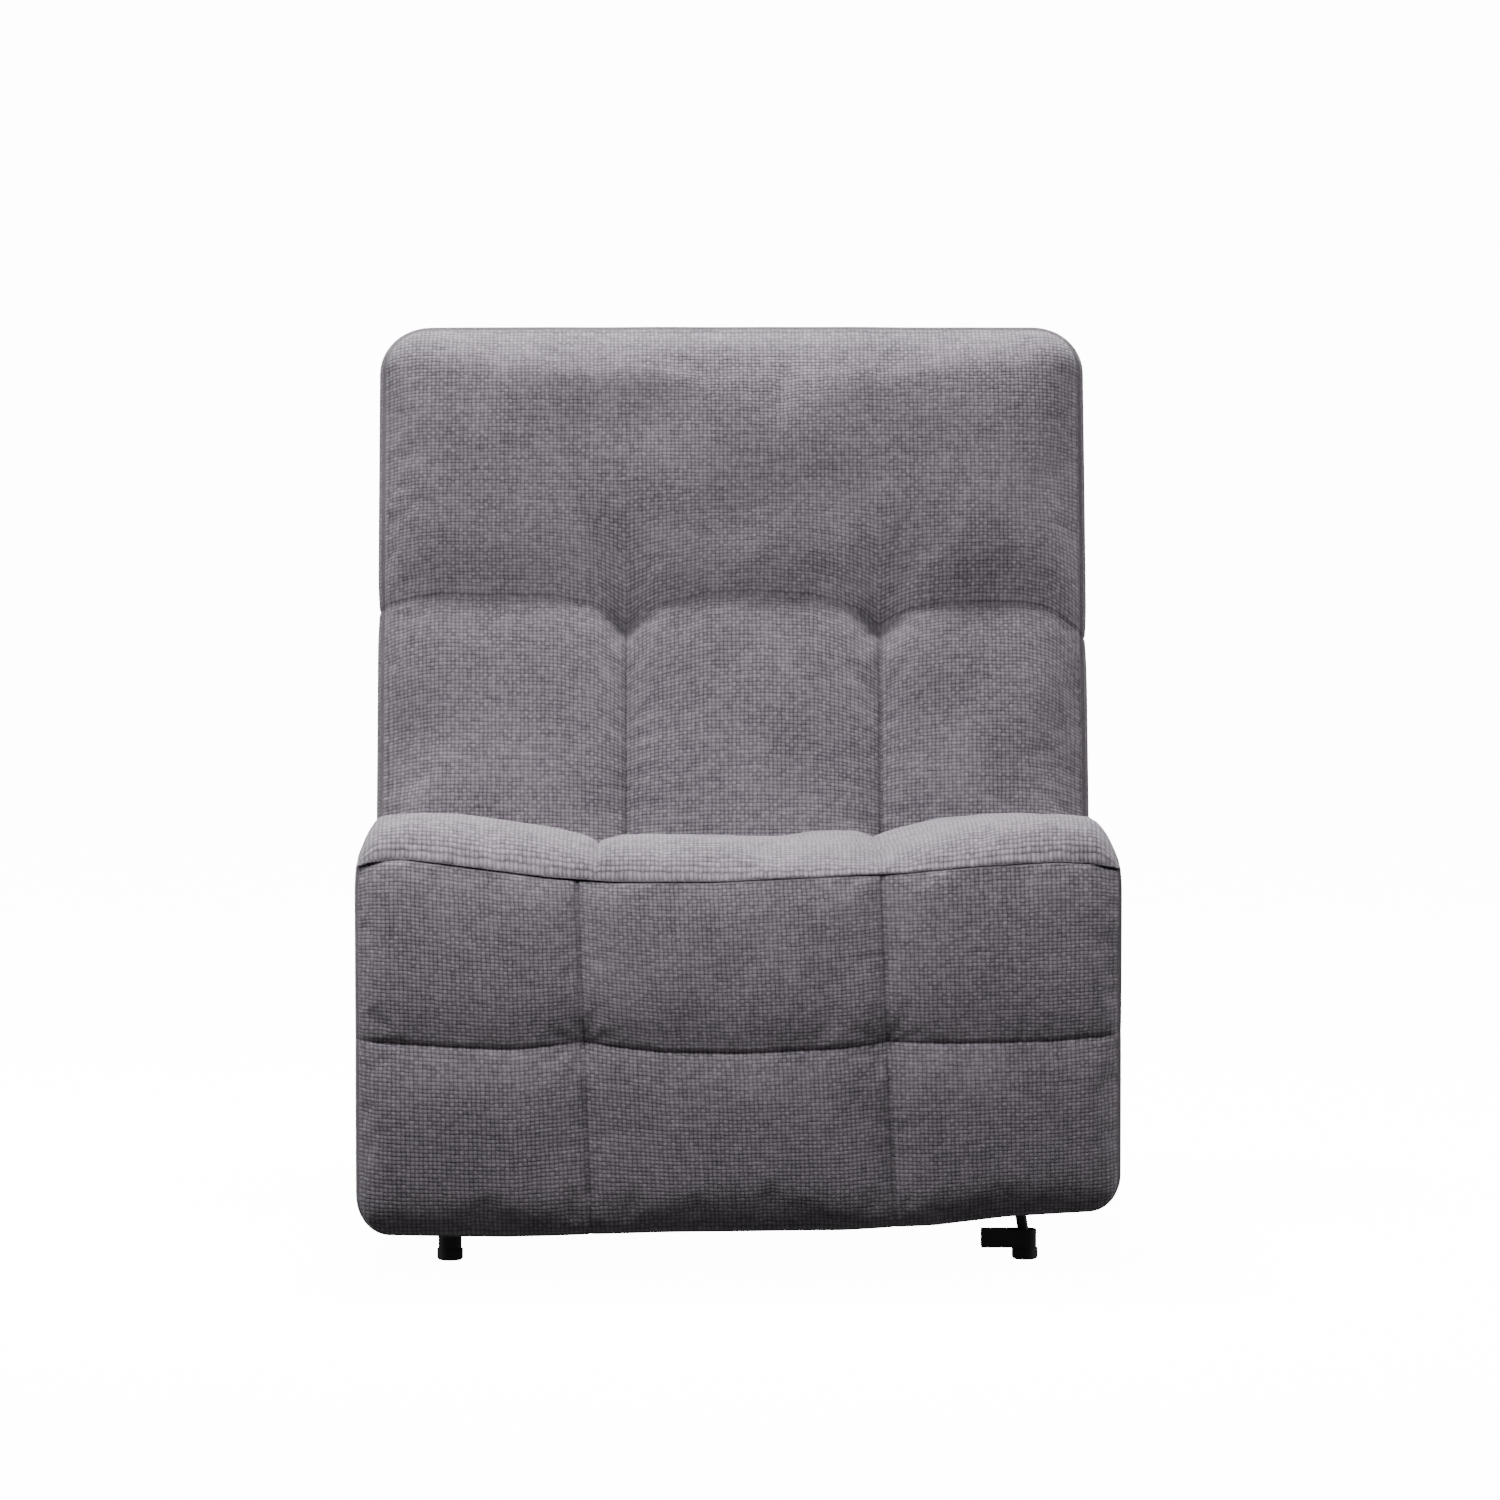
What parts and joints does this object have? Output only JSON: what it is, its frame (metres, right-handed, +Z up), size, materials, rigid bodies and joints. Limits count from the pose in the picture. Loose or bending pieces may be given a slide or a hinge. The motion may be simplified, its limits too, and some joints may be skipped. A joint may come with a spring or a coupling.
{
  "type": "armless recliner",
  "caption": "Armless power recliner with a tufted back, a padded seat and a footrest that swings out on a linkage; the seat glides forward as the back leans.",
  "frame": {"origin": "on the floor below the centre of the overall bounding box", "axes": "+Z up, the sitter faces -Y, +X is the sitter's left"},
  "size_m": [0.8005, 0.9687, 0.987],
  "materials": {
    "upholstery": "woven, matt",
    "timber": "planed",
    "plywood": "sanded",
    "deck_cloth": "matt",
    "webbing": "matt",
    "frame_paint": "satin black",
    "zinc_steel": "zinc plated",
    "spring_wire": "drawn wire",
    "foot_plastic": "matt",
    "motor_plastic": "textured",
    "button_plastic": "satin"
  },
  "bodies": {
    "base": {"left_base_rail": "frame_paint", "right_base_rail": "frame_paint", "front_cross_tube": "frame_paint", "rear_cross_tube": "frame_paint", "foot_stems": "frame_paint", "foot_caps": "foot_plastic", "right_foot_bar": "frame_paint", "leg_rods": "frame_paint", "foot_bolts": "zinc_steel", "power_inlet": "motor_plastic"},
    "front_swing": {"front_swing_links": "frame_paint"},
    "rear_swing": {"rear_swing_links": "frame_paint"},
    "recline_link": {"recline_links": "frame_paint"},
    "seat": {"left_side_plate": "frame_paint", "right_side_plate": "frame_paint", "seat_pivot_pins": "zinc_steel", "left_seat_bearer": "timber", "right_seat_bearer": "timber", "seat_front_rail": "timber", "seat_rear_rail": "timber", "corner_blocks": "timber", "seat_springs": "spring_wire", "seat_deck": "deck_cloth", "seat_pad": "upholstery", "left_side_panel": "plywood", "right_side_panel": "plywood", "left_side_cover": "upholstery", "right_side_cover": "upholstery", "gearmotor": "motor_plastic", "switch_plate": "motor_plastic"},
    "lift": {"lift_links": "frame_paint", "torque_tube": "frame_paint"},
    "rear_lift": {"rear_links": "frame_paint"},
    "upper_lift": {"upper_links": "frame_paint", "upper_link_pins": "zinc_steel"},
    "lower_lift": {"lower_links": "frame_paint", "lower_link_pins": "zinc_steel"},
    "footrest": {"left_footrest_bracket": "frame_paint", "right_footrest_bracket": "frame_paint", "footrest_board": "plywood", "footrest_pad": "upholstery", "footrest_screws": "zinc_steel"},
    "back": {"left_back_panel": "plywood", "right_back_panel": "plywood", "left_back_cover": "upholstery", "right_back_cover": "upholstery", "back_brackets": "frame_paint", "back_stiles": "timber", "back_bottom_rail": "timber", "back_middle_rail": "timber", "back_top_rail": "timber", "back_rear_top_rail": "timber", "back_rear_low_rail": "timber", "back_rear_cover": "upholstery", "back_top_cover": "upholstery", "back_webbing": "webbing", "back_pad": "upholstery", "recline_pins": "zinc_steel"},
    "extend_key": {"extend_button": "button_plastic"},
    "return_key": {"return_button": "button_plastic"}
  },
  "joints": [
    {"name": "seat_glide", "type": "hinge", "parent": "base", "child": "front_swing", "pos_m": [0, -0.2, 0.08], "axis": [1, 0, 0], "range_deg": [0, 50]},
    {"name": "seat_on_front_swing", "type": "hinge", "parent": "front_swing", "child": "seat", "pos_m": [0, -0.1514, 0.18423], "axis": [1, 0, 0], "range_deg": [-50, 0]},
    {"name": "rear_swing", "type": "hinge", "parent": "base", "child": "rear_swing", "pos_m": [0, 0.1, 0.08], "axis": [1, 0, 0], "range_deg": [0, 50]},
    {"name": "recline_link_pivot", "type": "hinge", "parent": "base", "child": "recline_link", "pos_m": [0, 0.1412, 0.08], "axis": [1, 0, 0], "range_deg": [0, 36.2]},
    {"name": "back_recline", "type": "hinge", "parent": "seat", "child": "back", "pos_m": [0, 0.19, 0.29], "axis": [-1, 0, 0], "range_deg": [0, 35]},
    {"name": "footrest_lift", "type": "hinge", "parent": "seat", "child": "lift", "pos_m": [0, -0.315, 0.2831], "axis": [-1, 0, 0], "range_deg": [0, 80]},
    {"name": "rear_lift_pivot", "type": "hinge", "parent": "seat", "child": "rear_lift", "pos_m": [0, -0.2563, 0.292], "axis": [-1, 0, 0], "range_deg": [0, 78.5]},
    {"name": "upper_lift_pivot", "type": "hinge", "parent": "lift", "child": "upper_lift", "pos_m": [0, -0.24175, 0.10087], "axis": [-1, 0, 0], "range_deg": [-105, 0]},
    {"name": "lower_lift_pivot", "type": "hinge", "parent": "lift", "child": "lower_lift", "pos_m": [0, -0.24175, 0.14587], "axis": [-1, 0, 0], "range_deg": [-105, 0]},
    {"name": "footrest_pivot", "type": "hinge", "parent": "upper_lift", "child": "footrest", "pos_m": [0, -0.34304, 0.24553], "axis": [-1, 0, 0], "range_deg": [0, 105]},
    {"name": "extend_press", "type": "slide", "parent": "seat", "child": "extend_key", "axis": [1, 0, 0], "range_m": [0, 0.0015], "stiffness_N_per_m": 300},
    {"name": "return_press", "type": "slide", "parent": "seat", "child": "return_key", "axis": [1, 0, 0], "range_m": [0, 0.0015], "stiffness_N_per_m": 300}
  ],
  "couplings": [
    {"joint": "seat_on_front_swing", "follows": "seat_glide", "ratio": -1},
    {"joint": "rear_swing", "follows": "seat_glide", "ratio": 1},
    {"joint": "back_recline", "follows": "seat_glide", "ratio": 0.7},
    {"joint": "recline_link_pivot", "follows": "seat_glide", "ratio": 0.724},
    {"joint": "rear_lift_pivot", "follows": "footrest_lift", "ratio": 0.98125},
    {"joint": "upper_lift_pivot", "follows": "footrest_lift", "ratio": -1.3125},
    {"joint": "lower_lift_pivot", "follows": "footrest_lift", "ratio": -1.3125},
    {"joint": "footrest_pivot", "follows": "footrest_lift", "ratio": 1.3125}
  ]
}
